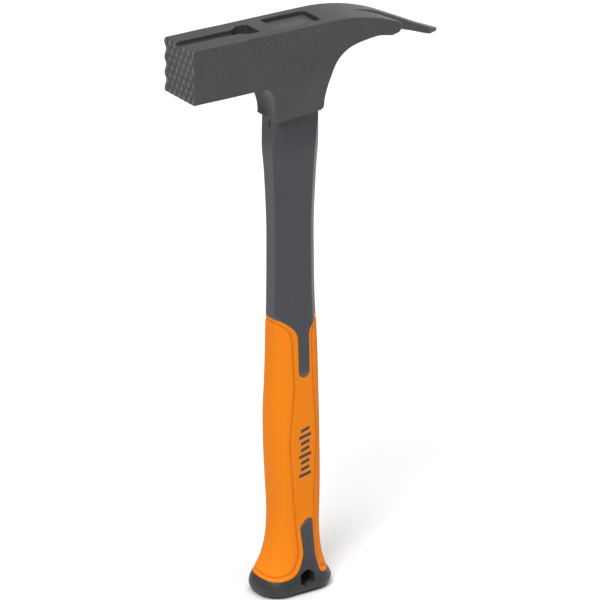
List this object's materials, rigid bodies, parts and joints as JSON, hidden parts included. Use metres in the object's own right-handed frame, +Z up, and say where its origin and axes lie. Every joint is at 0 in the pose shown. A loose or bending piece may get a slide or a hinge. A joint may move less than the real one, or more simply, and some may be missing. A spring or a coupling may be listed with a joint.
{
  "type": "roofing hammer",
  "caption": "Short-handled masonry and roofing hammer: forged head with waffle face, nail groove and offset claw, on a fibreglass handle with hard jacket and soft grip.",
  "frame": {"origin": "centre of the flat underside of the butt, on the handle's axis", "axes": "+Z up the handle to the top of the head, -X towards the striking face, +X towards the claw, +Y across the head's thickness"},
  "size_m": [0.1628, 0.029, 0.312],
  "materials": {
    "head_steel": "forged and dark tempered, satin, with a fine scale grain",
    "magnet_metal": "plain ground disc",
    "jacket_plastic": "satin grey glass-filled moulding",
    "set_adhesive": "cured resin",
    "core_fibreglass": "pultruded rod",
    "grip_rubber": "soft orange moulding with fine textured zones"
  },
  "bodies": {
    "root": {"hammer_head": "head_steel", "nail_magnet": "magnet_metal", "eye_plug": "jacket_plastic", "eye_bond": "set_adhesive", "handle_core": "core_fibreglass", "handle_jacket": "jacket_plastic", "grip_sleeve": "grip_rubber"}
  },
  "joints": []
}
